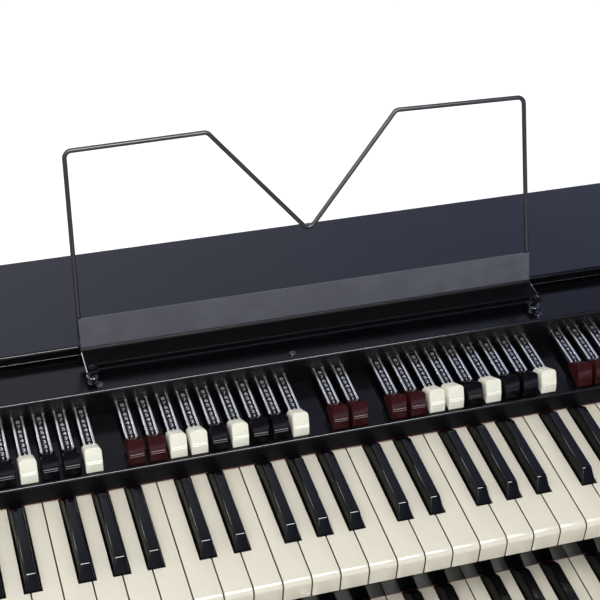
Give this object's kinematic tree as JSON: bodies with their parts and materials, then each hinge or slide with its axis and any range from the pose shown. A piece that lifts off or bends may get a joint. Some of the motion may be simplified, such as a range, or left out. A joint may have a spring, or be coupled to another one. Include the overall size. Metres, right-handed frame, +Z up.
{
  "type": "dual-manual organ",
  "caption": "Dual-manual electronic drawbar organ with stepped black case, waterfall keys, sliding drawbars and a wire music rest.",
  "frame": {"origin": "on the floor under the centre of the case", "axes": "+X along the keys to the right as the player sees it, +Y from the player to the back, +Z up"},
  "size_m": [1.15, 0.5256, 0.3452],
  "materials": {
    "pan_steel": "matt black powder coat",
    "case_black": "satin black powder coat, faintly blue",
    "satin_lid": "satin blue-black powder coat",
    "gloss_deck": "gloss black enamel",
    "end_wood": "black stained and lacquered",
    "ivory_keys": "polished ivory-coloured",
    "black_keys": "polished black",
    "frame_steel": "zinc plated",
    "rest_steel": "satin dark grey powder coat",
    "rest_wire": "satin dark grey coat",
    "screw_steel": "black oxide",
    "socket_plastic": "moulded black",
    "control_black": "fine moulded texture",
    "board": "solder mask on fibre board",
    "drawbar_brown": "moulded dark red-brown",
    "drawbar_cream": "moulded cream",
    "drawbar_black": "moulded black"
  },
  "bodies": {
    "root": {"base_pan": "pan_steel", "rear_panel": "case_black", "mains_inlet": "socket_plastic", "left_end_block": "end_wood", "right_end_block": "end_wood", "front_rail": "end_wood", "lower_key_frame": "frame_steel", "upper_key_frame": "frame_steel", "drawbar_deck": "gloss_deck", "control_panel": "case_black", "top_lid": "satin_lid", "music_rest_plate": "rest_steel", "music_rest_wire": "rest_wire", "thumb_screw_left": "screw_steel", "thumb_screw_right": "screw_steel", "main_board": "board"},
    "lower_naturals": {"lower_naturals": "ivory_keys"},
    "lower_sharps": {"lower_sharps": "black_keys"},
    "upper_naturals": {"upper_naturals": "ivory_keys"},
    "upper_sharps": {"upper_sharps": "black_keys"},
    "volume_knob": {"volume_knob": "control_black"},
    "rotor_speed_lever": {"rotor_speed_lever": "control_black"},
    "drawbar_upper_a_1": {"drawbar_upper_a_1": "drawbar_brown"},
    "drawbar_upper_a_2": {"drawbar_upper_a_2": "drawbar_brown"},
    "drawbar_upper_a_3": {"drawbar_upper_a_3": "drawbar_cream"},
    "drawbar_upper_a_4": {"drawbar_upper_a_4": "drawbar_cream"},
    "drawbar_upper_a_5": {"drawbar_upper_a_5": "drawbar_black"},
    "drawbar_upper_a_6": {"drawbar_upper_a_6": "drawbar_cream"},
    "drawbar_upper_a_7": {"drawbar_upper_a_7": "drawbar_black"},
    "drawbar_upper_a_8": {"drawbar_upper_a_8": "drawbar_black"},
    "drawbar_upper_a_9": {"drawbar_upper_a_9": "drawbar_cream"},
    "drawbar_upper_b_1": {"drawbar_upper_b_1": "drawbar_brown"},
    "drawbar_upper_b_2": {"drawbar_upper_b_2": "drawbar_brown"},
    "drawbar_upper_b_3": {"drawbar_upper_b_3": "drawbar_cream"},
    "drawbar_upper_b_4": {"drawbar_upper_b_4": "drawbar_cream"},
    "drawbar_upper_b_5": {"drawbar_upper_b_5": "drawbar_black"},
    "drawbar_upper_b_6": {"drawbar_upper_b_6": "drawbar_cream"},
    "drawbar_upper_b_7": {"drawbar_upper_b_7": "drawbar_black"},
    "drawbar_upper_b_8": {"drawbar_upper_b_8": "drawbar_black"},
    "drawbar_upper_b_9": {"drawbar_upper_b_9": "drawbar_cream"},
    "drawbar_pedal_1": {"drawbar_pedal_1": "drawbar_brown"},
    "drawbar_pedal_2": {"drawbar_pedal_2": "drawbar_brown"},
    "drawbar_lower_a_1": {"drawbar_lower_a_1": "drawbar_brown"},
    "drawbar_lower_a_2": {"drawbar_lower_a_2": "drawbar_brown"},
    "drawbar_lower_a_3": {"drawbar_lower_a_3": "drawbar_cream"},
    "drawbar_lower_a_4": {"drawbar_lower_a_4": "drawbar_cream"},
    "drawbar_lower_a_5": {"drawbar_lower_a_5": "drawbar_black"},
    "drawbar_lower_a_6": {"drawbar_lower_a_6": "drawbar_cream"},
    "drawbar_lower_a_7": {"drawbar_lower_a_7": "drawbar_black"},
    "drawbar_lower_a_8": {"drawbar_lower_a_8": "drawbar_black"},
    "drawbar_lower_a_9": {"drawbar_lower_a_9": "drawbar_cream"},
    "drawbar_lower_b_1": {"drawbar_lower_b_1": "drawbar_brown"},
    "drawbar_lower_b_2": {"drawbar_lower_b_2": "drawbar_brown"},
    "drawbar_lower_b_3": {"drawbar_lower_b_3": "drawbar_cream"},
    "drawbar_lower_b_4": {"drawbar_lower_b_4": "drawbar_cream"},
    "drawbar_lower_b_5": {"drawbar_lower_b_5": "drawbar_black"},
    "drawbar_lower_b_6": {"drawbar_lower_b_6": "drawbar_cream"},
    "drawbar_lower_b_7": {"drawbar_lower_b_7": "drawbar_black"},
    "drawbar_lower_b_8": {"drawbar_lower_b_8": "drawbar_black"},
    "drawbar_lower_b_9": {"drawbar_lower_b_9": "drawbar_cream"}
  },
  "joints": [
    {"name": "lower_naturals_press", "type": "hinge", "parent": "root", "child": "lower_naturals", "pos_m": [0.0895, -0.0455, 0.048], "axis": [1, 0, 0], "range_deg": [0, 3], "stiffness_Nm_per_rad": 24, "springref_deg": -8.59},
    {"name": "lower_sharps_press", "type": "hinge", "parent": "root", "child": "lower_sharps", "pos_m": [0.0895, -0.035, 0.048], "axis": [1, 0, 0], "range_deg": [0, 3], "stiffness_Nm_per_rad": 14, "springref_deg": -8.59},
    {"name": "upper_naturals_press", "type": "hinge", "parent": "root", "child": "upper_naturals", "pos_m": [0.0895, 0.0705, 0.106], "axis": [1, 0, 0], "range_deg": [0, 3], "stiffness_Nm_per_rad": 24, "springref_deg": -8.59},
    {"name": "upper_sharps_press", "type": "hinge", "parent": "root", "child": "upper_sharps", "pos_m": [0.0895, 0.081, 0.106], "axis": [1, 0, 0], "range_deg": [0, 3], "stiffness_Nm_per_rad": 14, "springref_deg": -8.59},
    {"name": "drawbar_upper_a_1_slide", "type": "slide", "parent": "root", "child": "drawbar_upper_a_1", "axis": [0, 1, 0], "range_m": [0, 0.043]},
    {"name": "drawbar_upper_a_2_slide", "type": "slide", "parent": "root", "child": "drawbar_upper_a_2", "axis": [0, 1, 0], "range_m": [0, 0.043]},
    {"name": "drawbar_upper_a_3_slide", "type": "slide", "parent": "root", "child": "drawbar_upper_a_3", "axis": [0, 1, 0], "range_m": [0, 0.043]},
    {"name": "drawbar_upper_a_4_slide", "type": "slide", "parent": "root", "child": "drawbar_upper_a_4", "axis": [0, 1, 0], "range_m": [0, 0.043]},
    {"name": "drawbar_upper_a_5_slide", "type": "slide", "parent": "root", "child": "drawbar_upper_a_5", "axis": [0, 1, 0], "range_m": [0, 0.043]},
    {"name": "drawbar_upper_a_6_slide", "type": "slide", "parent": "root", "child": "drawbar_upper_a_6", "axis": [0, 1, 0], "range_m": [0, 0.043]},
    {"name": "drawbar_upper_a_7_slide", "type": "slide", "parent": "root", "child": "drawbar_upper_a_7", "axis": [0, 1, 0], "range_m": [0, 0.043]},
    {"name": "drawbar_upper_a_8_slide", "type": "slide", "parent": "root", "child": "drawbar_upper_a_8", "axis": [0, 1, 0], "range_m": [0, 0.043]},
    {"name": "drawbar_upper_a_9_slide", "type": "slide", "parent": "root", "child": "drawbar_upper_a_9", "axis": [0, 1, 0], "range_m": [0, 0.043]},
    {"name": "drawbar_upper_b_1_slide", "type": "slide", "parent": "root", "child": "drawbar_upper_b_1", "axis": [0, 1, 0], "range_m": [0, 0.043]},
    {"name": "drawbar_upper_b_2_slide", "type": "slide", "parent": "root", "child": "drawbar_upper_b_2", "axis": [0, 1, 0], "range_m": [0, 0.043]},
    {"name": "drawbar_upper_b_3_slide", "type": "slide", "parent": "root", "child": "drawbar_upper_b_3", "axis": [0, 1, 0], "range_m": [0, 0.043]},
    {"name": "drawbar_upper_b_4_slide", "type": "slide", "parent": "root", "child": "drawbar_upper_b_4", "axis": [0, 1, 0], "range_m": [0, 0.043]},
    {"name": "drawbar_upper_b_5_slide", "type": "slide", "parent": "root", "child": "drawbar_upper_b_5", "axis": [0, 1, 0], "range_m": [0, 0.043]},
    {"name": "drawbar_upper_b_6_slide", "type": "slide", "parent": "root", "child": "drawbar_upper_b_6", "axis": [0, 1, 0], "range_m": [0, 0.043]},
    {"name": "drawbar_upper_b_7_slide", "type": "slide", "parent": "root", "child": "drawbar_upper_b_7", "axis": [0, 1, 0], "range_m": [0, 0.043]},
    {"name": "drawbar_upper_b_8_slide", "type": "slide", "parent": "root", "child": "drawbar_upper_b_8", "axis": [0, 1, 0], "range_m": [0, 0.043]},
    {"name": "drawbar_upper_b_9_slide", "type": "slide", "parent": "root", "child": "drawbar_upper_b_9", "axis": [0, 1, 0], "range_m": [0, 0.043]},
    {"name": "drawbar_pedal_1_slide", "type": "slide", "parent": "root", "child": "drawbar_pedal_1", "axis": [0, 1, 0], "range_m": [0, 0.043]},
    {"name": "drawbar_pedal_2_slide", "type": "slide", "parent": "root", "child": "drawbar_pedal_2", "axis": [0, 1, 0], "range_m": [0, 0.043]},
    {"name": "drawbar_lower_a_1_slide", "type": "slide", "parent": "root", "child": "drawbar_lower_a_1", "axis": [0, 1, 0], "range_m": [0, 0.043]},
    {"name": "drawbar_lower_a_2_slide", "type": "slide", "parent": "root", "child": "drawbar_lower_a_2", "axis": [0, 1, 0], "range_m": [0, 0.043]},
    {"name": "drawbar_lower_a_3_slide", "type": "slide", "parent": "root", "child": "drawbar_lower_a_3", "axis": [0, 1, 0], "range_m": [0, 0.043]},
    {"name": "drawbar_lower_a_4_slide", "type": "slide", "parent": "root", "child": "drawbar_lower_a_4", "axis": [0, 1, 0], "range_m": [0, 0.043]},
    {"name": "drawbar_lower_a_5_slide", "type": "slide", "parent": "root", "child": "drawbar_lower_a_5", "axis": [0, 1, 0], "range_m": [0, 0.043]},
    {"name": "drawbar_lower_a_6_slide", "type": "slide", "parent": "root", "child": "drawbar_lower_a_6", "axis": [0, 1, 0], "range_m": [0, 0.043]},
    {"name": "drawbar_lower_a_7_slide", "type": "slide", "parent": "root", "child": "drawbar_lower_a_7", "axis": [0, 1, 0], "range_m": [0, 0.043]},
    {"name": "drawbar_lower_a_8_slide", "type": "slide", "parent": "root", "child": "drawbar_lower_a_8", "axis": [0, 1, 0], "range_m": [0, 0.043]},
    {"name": "drawbar_lower_a_9_slide", "type": "slide", "parent": "root", "child": "drawbar_lower_a_9", "axis": [0, 1, 0], "range_m": [0, 0.043]},
    {"name": "drawbar_lower_b_1_slide", "type": "slide", "parent": "root", "child": "drawbar_lower_b_1", "axis": [0, 1, 0], "range_m": [0, 0.043]},
    {"name": "drawbar_lower_b_2_slide", "type": "slide", "parent": "root", "child": "drawbar_lower_b_2", "axis": [0, 1, 0], "range_m": [0, 0.043]},
    {"name": "drawbar_lower_b_3_slide", "type": "slide", "parent": "root", "child": "drawbar_lower_b_3", "axis": [0, 1, 0], "range_m": [0, 0.043]},
    {"name": "drawbar_lower_b_4_slide", "type": "slide", "parent": "root", "child": "drawbar_lower_b_4", "axis": [0, 1, 0], "range_m": [0, 0.043]},
    {"name": "drawbar_lower_b_5_slide", "type": "slide", "parent": "root", "child": "drawbar_lower_b_5", "axis": [0, 1, 0], "range_m": [0, 0.043]},
    {"name": "drawbar_lower_b_6_slide", "type": "slide", "parent": "root", "child": "drawbar_lower_b_6", "axis": [0, 1, 0], "range_m": [0, 0.043]},
    {"name": "drawbar_lower_b_7_slide", "type": "slide", "parent": "root", "child": "drawbar_lower_b_7", "axis": [0, 1, 0], "range_m": [0, 0.043]},
    {"name": "drawbar_lower_b_8_slide", "type": "slide", "parent": "root", "child": "drawbar_lower_b_8", "axis": [0, 1, 0], "range_m": [0, 0.043]},
    {"name": "drawbar_lower_b_9_slide", "type": "slide", "parent": "root", "child": "drawbar_lower_b_9", "axis": [0, 1, 0], "range_m": [0, 0.043]},
    {"name": "volume_turn", "type": "hinge", "parent": "root", "child": "volume_knob", "pos_m": [-0.3935, -0.0545, 0.1293], "axis": [0, 0, 1], "range_deg": [-150, 150]},
    {"name": "rotor_speed_turn", "type": "hinge", "parent": "root", "child": "rotor_speed_lever", "pos_m": [-0.4435, -0.1965, 0.0713], "axis": [0, 0, 1], "range_deg": [-25, 25]}
  ]
}
